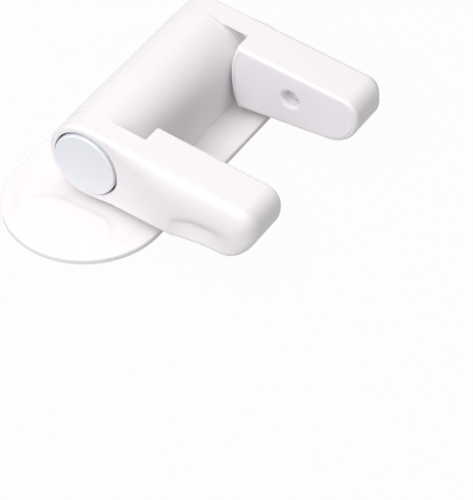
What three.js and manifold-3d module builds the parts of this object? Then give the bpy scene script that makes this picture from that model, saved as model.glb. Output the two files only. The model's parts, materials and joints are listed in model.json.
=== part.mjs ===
// Stick-on safety lock for a lever door handle. Millimetres, +Z away from the door.
// A foam pad holds the base plate on the door and a barrel stands on the plate. Two arms, tied together
// through the barrel, swing about its axis and straddle the handle. A sprung button in each hub frees them.
// Origin: centre of the pad's sticky face. +Y runs along the barrel and +X along the arms at rest.
import * as THREE from 'three';
import { mergeVertices } from 'three/addons/utils/BufferGeometryUtils.js';
import Module from 'manifold-3d';

const { clamp, lerp: mix, smoothstep } = THREE.MathUtils;
const wasm = await Module();
wasm.setup();

// Base plate and foam pad
const plateLength = 121;
const plateWidth = 50.5;
const plateThickness = 1.7;
const plateEdgeRound = 0.5;
const padThickness = 0.8;
const padInset = 0.8;
const lipWidth = 4.7;
const troughDepth = 0.4;
const pressPadWidth = 29;
const pressPadLength = 22;
const pressPadCorner = 8;
const pressDimpleRadius = 7.5;
const pressDimpleDepth = 0.3;
const pressDimpleInset = 15.2;

// Barrel
const barrelRadius = 13.2;
const barrelLength = 54.2;
const barrelWall = 2.2;
const barrelLift = 0.7;
const footPocketWidth = 3;
const footPocketHeight = 5.5;
const footPocketLength = 22;

// Hubs and arms
const hubStep = 0.2;
const hubThickness = 7.6;
const hubWall = 2;
const hubFloor = 1.6;
const edgeRound = 1.2;
const armGap = 41;
const armReach = 58;
const armTipUpper = 7.7;
const armTipLower = 8.8;
const armWall = 2;
const upperTipRadius = 5.4;
const lowerTipRadius = 11.1;
const blockNoseRadius = 30;
const blockClearance = 0.64;

// Outer face of the arms: it rises from the hub, rounds over and has a finger hollow under a brow
const flare = 2.8;
const rampStart = 8;
const rampEnd = 30;
const upperRoundWidth = 9.8;
const upperRoundDepth = 4.3;
const lowerRound = 1.6;
const upperTipWidth = 8;
const upperTipDepth = 5.5;
const lowerTipWidth = 4.6;
const lowerTipDepth = 4.4;
const scoopStart = 30.8;
const scoopLength = 20.4;
const scoopBrowStart = -1.3;
const scoopBrowEnd = 2;
const scoopDepth = 3.2;

// Pockets in the arms beside the barrel's ends
const pocketDepth = 4;
const pocketLip = 0.8;
const pocketWall = 0.3;
const pocketFoot = 4.5;

// Covers in the arms' inner faces
const coverRim = 1.4;
const coverThickness = 2;
const coverScrewPlace = 34.9;
const coverHoleRadius = 2.8;
const coverHoleDepth = 4.4;
const coverCupWall = 1.2;
const coverCupFloor = 1.4;

// Buttons, which lock the arms by lugs that sit in notches of the barrel
const buttonProud = 1.2;
const buttonTravel = 2.6;
const buttonWall = 1.6;
const buttonEdgeRound = 0.6;
const buttonCrown = 0.2;
const lugLength = 1.5;
const lugWidth = 4;
const lugCount = 4;
const notchCount = 8;
const notchDepth = 0.9;
const spigotWall = 1.6;
const slotLand = 0.6;
const webThickness = 2;

// Axle between the hubs
const axleRadius = 4.2;
const axleKeyWidth = 5;
const axleKeyShort = 0.3;

// Screws, washers and springs
const coverScrewRadius = 1;
const coverScrewLength = 7.5;
const coverScrewHeadRadius = 2.3;
const coverScrewHeadHeight = 1.6;
const axleScrewRadius = 1.2;
const axleScrewLength = 10;
const axleScrewHeadRadius = 2.7;
const axleScrewHeadHeight = 1.8;
const axleWasherRadius = 4.7;
const axleWasherThickness = 0.8;
const housingScrewRadius = 1;
const housingScrewLength = 6.5;
const housingScrewHeadRadius = 2.1;
const housingScrewHeadHeight = 1.1;
const housingScrewSpacing = 36;
const screwSocketDepth = 0.7;
const springWire = 0.8;
const springRadius = 5.7;
const springTurns = 5;

// Clearances
const runningGap = 0.3;
const fitGap = 0.25;
const seatGap = 0.1;
const pilotGap = 0.15;

// Fineness of the shapes: sides of large and small round pieces, and the nets of the arms' forms
const roundSides = 40;
const smallSides = 16;
const faceNet = { steps: 30, strips: 12 };
const flatNet = { steps: 18, strips: 8 };
const tipCrowding = 1.7;

// Shares that shape rounded forms
const halfRound = 1 - Math.SQRT1_2;
const scoopDeepest = 0.45;
const scoopBrowShare = 0.38;
const scoopRunOut = 0.15;
const socketShare = 0.45;
const headFlatShare = 0.75;
const crownRing = 0.6;

// Places worked out from the sizes above, as distances from the door or from the mid-plane
const plateTop = padThickness + plateThickness;
const axisHeight = plateTop + barrelRadius + barrelLift;
const barrelEnd = barrelLength / 2;
const boreRadius = barrelRadius - barrelWall;
const hubRadius = barrelRadius - hubStep;
const hubInner = barrelEnd + runningGap;
const hubFace = hubInner + hubThickness;
const wellRadius = hubRadius - hubWall;
const wellFloor = hubInner + hubFloor;
const armInner = armGap / 2;
const spigotRadius = boreRadius - runningGap;
const spigotBore = spigotRadius - spigotWall;
const slotOuter = hubInner - slotLand;
const lugOuter = slotOuter - fitGap;
const lugInner = lugOuter - lugLength;
const webOuter = lugInner - buttonTravel - fitGap;
const webInner = webOuter - webThickness;
const buttonRadius = wellRadius - fitGap;
const buttonFace = hubFace + buttonProud;
const buttonSeat = wellFloor + buttonTravel + fitGap;
const buttonInside = buttonFace - buttonWall;
const buttonTube = spigotBore - fitGap;
const axleEnd = webInner - seatGap;
const blockStart = barrelRadius + blockClearance;

// Materials
function nonMetal(color, roughness) {
  return new THREE.MeshStandardMaterial({ color, roughness, metalness: 0 });
}

function steel(roughness) {
  return new THREE.MeshStandardMaterial({ color: 0xb9bcc0, roughness, metalness: 1 });
}

const whiteAbs = nonMetal(0xf1eff2, 0.35);
const buttonAbs = nonMetal(0xeef0f5, 0.3);
const whiteLacquer = nonMetal(0xf0eef0, 0.3);
const greyFoam = nonMetal(0x5a5a5e, 0.95);
const zincSteel = steel(0.35);
const springSteel = steel(0.25);

// Solids: a closed geometry becomes a solid that can be joined and cut, and comes back as a geometry
function toSolid(geometry) {
  const bare = geometry.clone();
  bare.deleteAttribute('normal');
  bare.deleteAttribute('uv');
  const merged = mergeVertices(bare, 1e-4);
  const vertProperties = new Float32Array(merged.attributes.position.array);
  const triVerts = new Uint32Array(merged.index.array);
  return new wasm.Manifold(new wasm.Mesh({ numProp: 3, vertProperties, triVerts }));
}

function toGeometry(solid) {
  const mesh = solid.getMesh();
  const geometry = new THREE.BufferGeometry();
  geometry.setAttribute('position', new THREE.BufferAttribute(mesh.vertProperties, 3));
  geometry.setIndex(new THREE.BufferAttribute(mesh.triVerts, 1));
  return geometry;
}

function join(first, ...others) {
  return toGeometry(others.reduce((whole, one) => whole.add(toSolid(one)), toSolid(first)));
}

function cut(first, ...tools) {
  return toGeometry(tools.reduce((whole, one) => whole.subtract(toSolid(one)), toSolid(first)));
}

// Outline in X and Y raised from one height to another, each of its curves drawn with a number of sides
function raise(shape, low, high, sides = roundSides / 2) {
  const settings = { depth: high - low, curveSegments: sides, bevelEnabled: false };
  return new THREE.ExtrudeGeometry(shape, settings).translate(0, 0, low);
}

// The same with its upper edge rounded
function raiseRounded(shape, low, high, round) {
  const settings = {
    depth: high - low - round,
    curveSegments: roundSides / 2,
    bevelSize: round,
    bevelThickness: round,
    bevelOffset: -round,
    bevelSegments: 2,
  };
  return new THREE.ExtrudeGeometry(shape, settings).translate(0, 0, low);
}

// Outline in X and Z run along Y from one place to another
function runAlongY(shape, low, high) {
  const settings = { depth: high - low, curveSegments: roundSides / 2, bevelEnabled: false };
  return new THREE.ExtrudeGeometry(shape, settings).rotateX(Math.PI / 2).translate(0, high, 0);
}

// Solid of revolution about the pivot axis, from pairs of radius and place along Y
function turn(points, sides = roundSides) {
  const outline = points.map(([radius, place]) => new THREE.Vector2(radius, place));
  return new THREE.LatheGeometry(outline, sides);
}

function disc(radius, low, high, sides = roundSides) {
  return turn([[0, low], [radius, low], [radius, high], [0, high]], sides);
}

function block(width, length, height) {
  return new THREE.BoxGeometry(width, length, height);
}

// Mirror image across the mid-plane, with the faces turned to point out again
function mirrored(geometry) {
  const copy = geometry.clone().scale(1, -1, 1);
  const index = copy.index.array;
  for (let i = 0; i < index.length; i += 3) {
    [index[i + 1], index[i + 2]] = [index[i + 2], index[i + 1]];
  }
  return copy;
}

function stadium(length, width) {
  const radius = width / 2;
  const straight = length / 2 - radius;
  const shape = new THREE.Shape();
  shape.absarc(0, straight, radius, 0, Math.PI);
  shape.absarc(0, -straight, radius, Math.PI, 2 * Math.PI);
  shape.closePath();
  return shape;
}

function roundedRectangle(width, length, radius) {
  const x = width / 2 - radius;
  const y = length / 2 - radius;
  const shape = new THREE.Shape();
  shape.absarc(x, y, radius, 0, Math.PI / 2);
  shape.absarc(-x, y, radius, Math.PI / 2, Math.PI);
  shape.absarc(-x, -y, radius, Math.PI, 1.5 * Math.PI);
  shape.absarc(x, -y, radius, 1.5 * Math.PI, 2 * Math.PI);
  shape.closePath();
  return shape;
}

// Base: pad, plate with its relief, barrel and the screws between them
const housingScrewSide = barrelRadius - barrelWall - housingScrewRadius;
const housingScrewPlaces = [[1, 1], [-1, 1], [-1, -1], [1, -1]].map(([x, y]) => [
  x * housingScrewSide,
  y * housingScrewSpacing / 2,
]);

function makePad() {
  return raise(stadium(plateLength - 2 * padInset, plateWidth - 2 * padInset), 0, padThickness);
}

function makePlate() {
  const body = raiseRounded(stadium(plateLength, plateWidth), padThickness, plateTop, plateEdgeRound);
  const flatBack = block(2 * plateWidth, 2 * plateLength, plateThickness)
    .translate(0, 0, padThickness - plateThickness / 2);
  const troughFloor = plateTop - troughDepth;
  const above = plateTop + plateThickness;
  const pressPads = [1, -1].map((side) => {
    const middle = side * (plateLength / 2 - pressPadLength / 2);
    const length = pressPadLength + 2 * pressPadCorner;
    return raise(roundedRectangle(pressPadWidth, length, pressPadCorner), 0, 2 * above, smallSides / 4)
      .translate(0, middle + side * pressPadCorner, 0);
  });
  const trough = stadium(plateLength - 2 * lipWidth, plateWidth - 2 * lipWidth);
  const barrelSeat = block(2 * barrelRadius, barrelLength, 4 * above);
  const hollow = cut(raise(trough, troughFloor, above), ...pressPads, barrelSeat);
  const dimples = [1, -1].map((side) => (
    dimple().translate(0, side * (plateLength / 2 - pressDimpleInset), plateTop - pressDimpleDepth)
  ));
  const screwHoles = housingScrewPlaces.map(([x, y]) => countersink(fitGap).translate(x, y, 0));
  return cut(body, flatBack, hollow, ...dimples, ...screwHoles);
}

// Shallow round hollow, as the cap of a ball with a lid above it
function dimple() {
  const ballRadius = (pressDimpleRadius ** 2 + pressDimpleDepth ** 2) / (2 * pressDimpleDepth);
  const halfAngle = Math.asin(pressDimpleRadius / ballRadius);
  const rings = 4;
  const outline = Array.from({ length: rings + 1 }, (_, i) => {
    const angle = (halfAngle * i) / rings;
    return [ballRadius * Math.sin(angle), ballRadius * (1 - Math.cos(angle))];
  });
  const lid = 2 * pressDimpleDepth;
  return turn([...outline, [pressDimpleRadius, lid], [0, lid]], smallSides).rotateX(Math.PI / 2);
}

// Countersunk screw from the plate's back, drawn larger by a gap for its hole
function countersink(gap) {
  const head = padThickness + seatGap;
  const headRadius = housingScrewHeadRadius + gap;
  const shank = housingScrewRadius + gap;
  const start = gap > 0 ? 0 : head;
  const end = gap > 0 ? plateTop + plateThickness : head + housingScrewLength;
  const outline = [
    [0, start],
    [headRadius, start],
    [headRadius, head + gap],
    [shank, head + housingScrewHeadHeight + gap],
    [shank, end],
    [0, end],
  ];
  return turn(outline, smallSides).rotateX(Math.PI / 2);
}

function makeHousingScrew() {
  const socket = new THREE.CylinderGeometry(housingScrewRadius, housingScrewRadius, 2 * screwSocketDepth, 6)
    .rotateX(Math.PI / 2)
    .translate(0, 0, padThickness + seatGap);
  return cut(countersink(0), socket);
}

function makeBarrel() {
  const outline = new THREE.Shape();
  outline.moveTo(barrelRadius, plateTop - axisHeight);
  outline.lineTo(barrelRadius, 0);
  outline.absarc(0, 0, barrelRadius, 0, Math.PI);
  outline.lineTo(-barrelRadius, plateTop - axisHeight);
  outline.closePath();
  const body = runAlongY(outline, -barrelEnd, barrelEnd).translate(0, 0, axisHeight);
  const bore = disc(boreRadius, -barrelLength, barrelLength).translate(0, 0, axisHeight);
  const notchLength = barrelEnd - lugInner + fitGap;
  const notches = [];
  for (let i = 0; i < notchCount; i += 1) {
    const angle = (2 * Math.PI * i) / notchCount;
    [1, -1].forEach((side) => {
      notches.push(block(2 * notchDepth, 2 * notchLength, lugWidth + 2 * fitGap)
        .translate(boreRadius, side * barrelEnd, 0)
        .rotateY(angle)
        .translate(0, 0, axisHeight));
    });
  }
  const pilotLength = padThickness + seatGap + housingScrewLength + pilotGap;
  const pilots = housingScrewPlaces.map(([x, y]) => (
    disc(housingScrewRadius + pilotGap, 0, pilotLength, smallSides).rotateX(Math.PI / 2).translate(x, y, 0)
  ));
  const pockets = [1, -1].map((side) => (
    block(footPocketWidth, footPocketLength, 2 * footPocketHeight)
      .translate(side * (barrelRadius - barrelWall - footPocketWidth / 2), 0, plateTop)
  ));
  return cut(body, bore, ...notches, ...pilots, ...pockets);
}

// Arm outline seen along the pivot axis. Each straight edge is a tangent from the hub to the tip's arc.
function armSide(sign, tipHeight, tipRadius, roundWidth, roundDepth) {
  const taper = Math.asin(hubRadius / Math.hypot(armReach, tipHeight)) - Math.atan2(tipHeight, armReach);
  const centre = armReach - tipRadius;
  const height = (hubRadius - tipRadius) / Math.cos(taper) - centre * Math.tan(taper);
  return { sign, taper, tipRadius, centre, height, roundWidth, roundDepth };
}

const lowerTip = Math.min(lowerTipRadius, armTipUpper + armTipLower - upperTipRadius);
const upperSide = armSide(1, armTipUpper, upperTipRadius, upperRoundWidth, upperRoundDepth);
const lowerSide = armSide(-1, armTipLower, lowerTip, lowerRound, lowerRound);

// Half-width of the arm on one side of the pivot line, drawn in by an inset
function armEdge(u, side, inset) {
  const { taper, tipRadius, centre, height } = side;
  const radius = tipRadius - inset;
  if (u > centre + radius * Math.sin(taper)) {
    return height + Math.sqrt(Math.max(0, radius ** 2 - (u - centre) ** 2));
  }
  if (u < hubRadius * Math.sin(taper)) {
    return Math.sqrt(hubRadius ** 2 - u ** 2) - inset;
  }
  return (hubRadius - inset) / Math.cos(taper) - u * Math.tan(taper);
}

function ramp(value, from, to) {
  return clamp((value - from) / (to - from), 0, 1);
}

// Fall of a rounded edge, from nothing at its inner line to its full depth at the edge
function roundOver(share, depth) {
  const s = clamp(share, 0, 1);
  return depth * (1 - Math.sqrt(1 - s * s));
}

// Depth of the finger hollow: it starts at a crease, is deepest under its brow and runs out at the lower edge
function scoopFall(u, v, lower) {
  const along = (u - scoopStart) / scoopLength;
  const brow = mix(scoopBrowStart, scoopBrowEnd, along);
  const across = (brow - v) / (brow - lower);
  if (along <= 0 || along >= 1 || across <= 0) {
    return 0;
  }
  const lengthwise = along < scoopDeepest
    ? Math.sin((Math.PI / 2) * (along / scoopDeepest))
    : Math.sin((Math.PI / 2) * ((1 - along) / (1 - scoopDeepest))) ** 2;
  const under = (across / scoopBrowShare) ** 2;
  const floor = mix(1, scoopRunOut, (across - scoopBrowShare) / (1 - scoopBrowShare));
  return scoopDepth * lengthwise * Math.min(under, floor);
}

// Distance from one side of the outline, and the share of the tip's rounding there
function edgeDistance(u, v, side, inset) {
  const ahead = u - side.centre;
  const beside = side.sign * v - side.height;
  const turned = Math.atan2(beside, ahead) / (Math.PI / 2 - side.taper);
  const fromSide = (armEdge(u, side, inset) - side.sign * v) * Math.cos(side.taper);
  const fromTip = armReach - inset - u;
  if (ahead > 0 && turned > 0 && turned < 1) {
    return [side.tipRadius - inset - Math.hypot(ahead, beside), 1 - smoothstep(turned, 0, 1)];
  }
  if (beside > 0) {
    return [fromSide, 0];
  }
  if (ahead > 0) {
    return [fromTip, 1];
  }
  return [Math.min(fromSide, fromTip), beside === 0 ? 0 : beside / (ahead + beside)];
}

// Fall of the rounding along one side of the outline, which goes over into the rounding of the tip
function sideFall(u, v, side, growth, inset) {
  const [distance, tipShare] = edgeDistance(u, v, side, inset);
  const tipRise = smoothstep(v, -armTipLower, armTipUpper);
  const tipWidth = mix(lowerTipWidth, upperTipWidth, tipRise);
  const tipDepth = mix(lowerTipDepth, upperTipDepth, tipRise);
  const width = mix(mix(edgeRound, side.roundWidth, growth), tipWidth, tipShare);
  const depth = mix(mix(edgeRound, side.roundDepth, growth), tipDepth, tipShare);
  return roundOver(1 - distance / width, depth);
}

// Place of the arm's outer face, from the mid-plane, at a point of the outline
function outerFace(u, v, inset) {
  const growth = ramp(u, rampStart, rampEnd);
  const falls = [upperSide, lowerSide].map((side) => sideFall(u, v, side, growth, inset));
  const scoop = scoopFall(u, v, -armEdge(u, lowerSide, inset));
  return hubFace + flare * growth - Math.max(...falls) - scoop - inset;
}

// Curved inner end of the arm's thick part, which bulges towards the barrel
function blockEnd(v) {
  return blockStart + blockNoseRadius - Math.sqrt(blockNoseRadius ** 2 - v ** 2);
}

// Solid that follows the arm's outline, inset all round, from a start line to the tip
function armForm(net, inset, startOf, low, topOf) {
  const form = new THREE.BoxGeometry(1, 1, 1, net.steps, 1, net.strips);
  const corner = form.attributes.position;
  const rootUpper = armEdge(blockStart, upperSide, inset);
  const rootLower = -armEdge(blockStart, lowerSide, inset);
  for (let i = 0; i < corner.count; i += 1) {
    const along = 1 - (0.5 - corner.getX(i)) ** tipCrowding;
    const across = 0.5 + 0.5 * Math.sin(Math.PI * corner.getZ(i));
    const start = startOf(mix(rootLower, rootUpper, across)) + inset;
    const u = mix(start, armReach - inset, along);
    const upper = armEdge(u, upperSide, inset);
    const lower = -armEdge(u, lowerSide, inset);
    const v = mix(lower, upper, across);
    corner.setXYZ(i, u, corner.getY(i) > 0 ? topOf(u, v) : low, v);
  }
  return form;
}

// Room for the barrel beside the arm's thick part
function barrelRoom() {
  const reach = 2 * hubRadius;
  const half = 1.2 * hubRadius;
  const turnHalf = Math.asin(half / blockNoseRadius);
  const outline = new THREE.Shape();
  outline.moveTo(-reach, -half);
  outline.lineTo(blockEnd(half), -half);
  const centre = blockStart + blockNoseRadius;
  outline.absarc(centre, 0, blockNoseRadius, Math.PI + turnHalf, Math.PI - turnHalf, true);
  outline.lineTo(-reach, half);
  outline.closePath();
  return runAlongY(outline, armInner - armWall, hubInner);
}

// Pocket in the hub's inner face beside the barrel's end, between the barrel and the arm's thick part
function sidePocket(side) {
  const rim = barrelRadius + pocketWall;
  const byBarrel = (v) => Math.sqrt(rim ** 2 - v ** 2);
  const byBlock = (v) => blockEnd(v) - pocketWall;
  const steps = smallSides / 2;
  const wall = (placeOf) => {
    let top = pocketFoot;
    for (let i = 0; i < steps; i += 1) {
      top = armEdge(placeOf(top), side, pocketLip);
    }
    return Array.from({ length: steps + 1 }, (_, i) => {
      const v = mix(pocketFoot, top, i / steps);
      return new THREE.Vector2(placeOf(v), side.sign * v);
    });
  };
  const outline = new THREE.Shape([...wall(byBarrel), ...wall(byBlock).reverse()]);
  return runAlongY(outline, barrelEnd, hubInner + pocketDepth);
}

// Far arm: hub with its button well and spigot, and the hollow thick part that the cover closes
function makeArmShell() {
  const underCover = armInner - armWall;
  const body = cut(armForm(faceNet, 0, () => 0, armInner, (u, v) => outerFace(u, v, 0)), barrelRoom());
  const hub = turn([
    [0, hubInner],
    [hubRadius, hubInner],
    [hubRadius, hubFace - edgeRound],
    [hubRadius - halfRound * edgeRound, hubFace - halfRound * edgeRound],
    [hubRadius - edgeRound, hubFace],
    [0, hubFace],
  ]);
  const spigot = disc(spigotRadius, webInner, hubInner + hubFloor / 2);
  const cavity = armForm(flatNet, armWall, blockEnd, underCover, (u, v) => outerFace(u, v, armWall));
  const seatPlace = armInner + coverThickness + seatGap;
  const coverSeat = armForm(flatNet, coverRim, blockEnd, underCover, () => seatPlace);
  const well = disc(wellRadius, wellFloor, hubFace + hubThickness);
  const throat = disc(spigotBore, webOuter, hubFace);
  const keyWidth = axleKeyWidth + 2 * fitGap;
  const keyHole = block(keyWidth, 2 * webThickness, keyWidth).translate(0, webInner + webThickness / 2, 0);
  const slotRoot = spigotBore - spigotWall / 2;
  const slots = lugRing(lugWidth + 2 * fitGap, webOuter, slotOuter, slotRoot, slotRoot + 2 * spigotWall);
  const pockets = [upperSide, lowerSide].map(sidePocket);
  const whole = join(body, hub, spigot);
  const shell = cut(whole, cavity, coverSeat, well, throat, keyHole, ...slots, ...pockets);
  const bossFoot = armInner + coverHoleDepth + coverCupFloor + seatGap;
  const bossTop = outerFace(coverScrewPlace, -coverHoleRadius, armWall / 2);
  const boss = disc(coverHoleRadius, bossFoot, bossTop, smallSides);
  const pilot = disc(coverScrewRadius + pilotGap, armInner, bossTop - armWall / 2, smallSides);
  const [bossThere, pilotThere] = [boss, pilot].map((one) => one.translate(coverScrewPlace, 0, 0));
  return cut(join(shell, bossThere), pilotThere);
}

// Blocks round the pivot axis, one for each lug
function lugRing(width, low, high, inner, outer) {
  return Array.from({ length: lugCount }, (_, i) => (
    block(outer - inner, high - low, width)
      .translate((inner + outer) / 2, (low + high) / 2, 0)
      .rotateY((2 * Math.PI * i) / lugCount)
  ));
}

// Cover with a cup that holds the screw's head
function makeArmCover() {
  const back = armInner + coverThickness;
  const plate = armForm(flatNet, coverRim + fitGap, blockEnd, armInner, () => back);
  const floor = armInner + coverHoleDepth;
  const cupRadius = coverHoleRadius + coverCupWall;
  const cup = disc(cupRadius, back - coverThickness / 2, floor + coverCupFloor, smallSides);
  const hole = disc(coverHoleRadius, armInner - coverThickness, floor, smallSides);
  const passage = disc(coverScrewRadius + fitGap, armInner, floor + 2 * coverCupFloor, smallSides);
  const [cupThere, ...holesThere] = [cup, hole, passage].map((one) => one.translate(coverScrewPlace, 0, 0));
  return cut(join(plate, cupThere), ...holesThere);
}

// Pan-head screw along Y with a hexagonal socket, its head's seat at the given place
function panScrew(seat, radius, length, headRadius, headHeight) {
  const body = turn([
    [0, seat - length],
    [radius, seat - length],
    [radius, seat],
    [headRadius, seat],
    [headRadius, seat + headHeight / 2],
    [headFlatShare * headRadius, seat + headHeight],
    [0, seat + headHeight],
  ], smallSides);
  const socketRadius = socketShare * headRadius;
  const socket = new THREE.CylinderGeometry(socketRadius, socketRadius, 2 * screwSocketDepth, 6)
    .translate(0, seat + headHeight, 0);
  return cut(body, socket);
}

// The cover's screw points out of the mid-plane, so its head looks at the other arm
function makeCoverScrew() {
  const seat = armInner + coverHoleDepth - seatGap;
  return panScrew(0, coverScrewRadius, coverScrewLength, coverScrewHeadRadius, coverScrewHeadHeight)
    .rotateX(Math.PI)
    .translate(coverScrewPlace, seat, 0);
}

function makeAxleScrew() {
  const seat = webOuter + axleWasherThickness + 2 * seatGap;
  return panScrew(seat, axleScrewRadius, axleScrewLength, axleScrewHeadRadius, axleScrewHeadHeight);
}

function makeAxleWasher() {
  const low = webOuter + seatGap;
  const high = low + axleWasherThickness;
  const hole = axleScrewRadius + fitGap;
  const rim = axleWasherRadius;
  return turn([[hole, low], [rim, low], [rim, high], [hole, high], [hole, low]], smallSides);
}

// Axle with a square key at each end and a pilot hole for each screw
function makeAxle() {
  const bar = disc(axleRadius, -axleEnd, axleEnd, smallSides);
  const keyEnd = webOuter - axleKeyShort;
  const key = block(axleKeyWidth, 2 * keyEnd, axleKeyWidth);
  const pilotDepth = axleScrewLength + pilotGap;
  const pilots = [1, -1].map((side) => (
    disc(axleScrewRadius + pilotGap, -pilotDepth, pilotDepth, smallSides).translate(0, side * keyEnd, 0)
  ));
  return cut(join(bar, key), ...pilots);
}

// Button: a crowned cap with a skirt in the hub's well and a tube in the spigot, which carries the lugs
function makeButton() {
  const crownEdge = buttonFace - buttonCrown;
  const tubeBore = buttonTube - buttonWall;
  const cap = turn([
    [0, buttonInside],
    [tubeBore, buttonInside],
    [tubeBore, lugInner],
    [buttonTube, lugInner],
    [buttonTube, buttonSeat],
    [buttonRadius, buttonSeat],
    [buttonRadius, crownEdge - buttonEdgeRound],
    [buttonRadius - halfRound * buttonEdgeRound, crownEdge - halfRound * buttonEdgeRound],
    [buttonRadius - buttonEdgeRound, crownEdge],
    [crownRing * buttonRadius, buttonFace - crownRing ** 2 * buttonCrown],
    [0, buttonFace],
  ]);
  const lugs = lugRing(lugWidth, lugInner, lugOuter, buttonTube - buttonWall / 2, spigotRadius);
  return join(cap, ...lugs);
}

// Coil spring between the spigot's web and the button's cap
class SpringPath extends THREE.Curve {
  constructor(low, high) {
    super();
    this.low = low;
    this.high = high;
  }

  getPoint(t, target = new THREE.Vector3()) {
    const angle = 2 * Math.PI * springTurns * t;
    const height = mix(this.low, this.high, t);
    return target.set(springRadius * Math.cos(angle), height, springRadius * Math.sin(angle));
  }
}

function makeSpring() {
  const rise = springWire / 2 + 2 * seatGap;
  const path = new SpringPath(webOuter + rise, buttonInside - rise);
  const wire = new THREE.Shape();
  wire.absarc(0, 0, springWire / 2, 0, 2 * Math.PI);
  const settings = { steps: 8 * springTurns, curveSegments: 3, extrudePath: path, bevelEnabled: false };
  return toGeometry(toSolid(new THREE.ExtrudeGeometry(wire, settings)));
}

// Assembly
const lock = new THREE.Group();
const hook = new THREE.Group();
hook.position.set(0, 0, axisHeight);
lock.add(hook);

function place(parent, name, geometry, material) {
  const mesh = new THREE.Mesh(geometry, material);
  mesh.name = name;
  parent.add(mesh);
  return mesh;
}

place(lock, 'adhesive_pad', makePad(), greyFoam);
place(lock, 'base_plate', makePlate(), whiteAbs);
place(lock, 'barrel_housing', makeBarrel(), whiteAbs);
housingScrewPlaces.forEach(([x, y], i) => {
  place(lock, `housing_screw_${i + 1}`, makeHousingScrew(), zincSteel).position.set(x, y, 0);
});
place(hook, 'pivot_axle', makeAxle(), zincSteel);

// Both arms carry the same pieces, and the near arm's are mirror images of the far arm's
const armPieces = [
  ['arm_shell', makeArmShell(), whiteAbs],
  ['arm_cover', makeArmCover(), whiteAbs],
  ['cover_screw', makeCoverScrew(), whiteLacquer],
  ['axle_washer', makeAxleWasher(), zincSteel],
  ['axle_screw', makeAxleScrew(), zincSteel],
  ['button', makeButton(), buttonAbs],
  ['button_spring', makeSpring(), springSteel],
];
armPieces.forEach(([name, geometry, material]) => {
  place(hook, `${name}_far`, geometry, material);
  place(hook, `${name}_near`, mirrored(geometry), material);
});

export default lock;
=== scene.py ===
import json
from math import asin, atan2, cos, exp, hypot, log, pi, radians, sin, sqrt, tan

import bmesh
import bpy
from mathutils import Matrix, Vector


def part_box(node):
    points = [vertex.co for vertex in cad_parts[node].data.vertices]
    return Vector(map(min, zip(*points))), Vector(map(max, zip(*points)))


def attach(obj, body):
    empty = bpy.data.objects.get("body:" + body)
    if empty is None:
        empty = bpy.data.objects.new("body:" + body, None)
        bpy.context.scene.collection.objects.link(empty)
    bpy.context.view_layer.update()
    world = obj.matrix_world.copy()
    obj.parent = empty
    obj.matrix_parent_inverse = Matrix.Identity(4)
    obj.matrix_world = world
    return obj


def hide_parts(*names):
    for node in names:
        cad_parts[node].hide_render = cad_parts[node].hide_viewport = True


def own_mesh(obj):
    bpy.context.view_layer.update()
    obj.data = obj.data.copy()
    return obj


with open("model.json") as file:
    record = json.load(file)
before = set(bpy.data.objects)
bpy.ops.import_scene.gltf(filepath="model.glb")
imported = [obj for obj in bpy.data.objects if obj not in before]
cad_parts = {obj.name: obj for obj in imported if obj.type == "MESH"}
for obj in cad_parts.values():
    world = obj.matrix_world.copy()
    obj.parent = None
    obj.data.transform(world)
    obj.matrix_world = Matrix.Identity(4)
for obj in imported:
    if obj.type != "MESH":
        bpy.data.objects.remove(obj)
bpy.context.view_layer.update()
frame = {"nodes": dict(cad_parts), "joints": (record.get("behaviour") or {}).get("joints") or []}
mm = 0.001  # pieces are modelled in millimetres and scaled once they are whole
print("frame:", len(frame["nodes"]), "nodes")


def boxMm(node):
    low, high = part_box(node)
    return low / mm, high / mm


pivotHeight = next(joint for joint in frame["joints"] if joint["name"] == "hook_swing")["pos_m"][2] / mm


# Materials

def linear(hexColour):
    channels = [int(hexColour[i:i + 2], 16) / 255 for i in (1, 3, 5)]
    return [c / 12.92 if c <= 0.04045 else ((c + 0.055) / 1.055) ** 2.4 for c in channels] + [1]


def addNode(tree, kind, settings=None, links=None):  # an input goes by name, or by number if names repeat
    node = tree.nodes.new(kind)
    for name, value in (settings or {}).items():
        if isinstance(name, str) and hasattr(node, name):
            setattr(node, name, value)
        else:
            node.inputs[name].default_value = value
    for name, output in (links or {}).items():
        tree.links.new(output, node.inputs[name])
    return node


colourMix = {"first": 6, "second": 7, "result": 2}  # numbers of a colour mix's two inputs and its output


def newMaterial(name):
    material = bpy.data.materials.new(name)
    material.use_nodes = True
    tree = material.node_tree
    place = addNode(tree, "ShaderNodeTexCoord").outputs["Object"]
    return material, tree, tree.nodes["Principled BSDF"], place


# Injection-moulded ABS: a broad soft gloss, with faint clouds where the melt flowed and a fine grain from
# the polished mould. The real grain is finer than a pixel, so it is drawn at 0.5 mm.
absFinish = {
    "ior": 1.53, "flowMm": 16, "flowDetail": 3, "grainMm": 0.5, "grainDetail": 2, "grainHeightMm": 0.004,
    "grainStrength": 0.5, "roughSpread": 0.05,
}


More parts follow.
